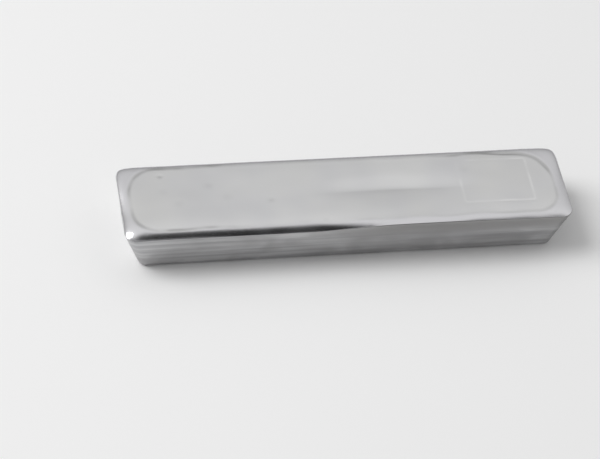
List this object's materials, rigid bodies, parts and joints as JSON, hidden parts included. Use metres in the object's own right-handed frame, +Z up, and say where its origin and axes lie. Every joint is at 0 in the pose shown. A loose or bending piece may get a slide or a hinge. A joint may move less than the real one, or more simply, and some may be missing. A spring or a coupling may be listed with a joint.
{
  "type": "indium ingot",
  "caption": "Small trapezoidal cast bar of bright grey metal: rounded rim, sunken top face inside a freezing ring, blank stamped frame near one end, plain narrower foot.",
  "frame": {"origin": "middle of the foot, the narrow flat face that the ingot lies on", "axes": "+X along the bar towards the stamped end, +Y across it, +Z up out of the open-mould face"},
  "size_m": [0.148, 0.032, 0.0165],
  "materials": {
    "indium": "satin"
  },
  "bodies": {
    "root": {"ingot": "indium"}
  },
  "joints": []
}
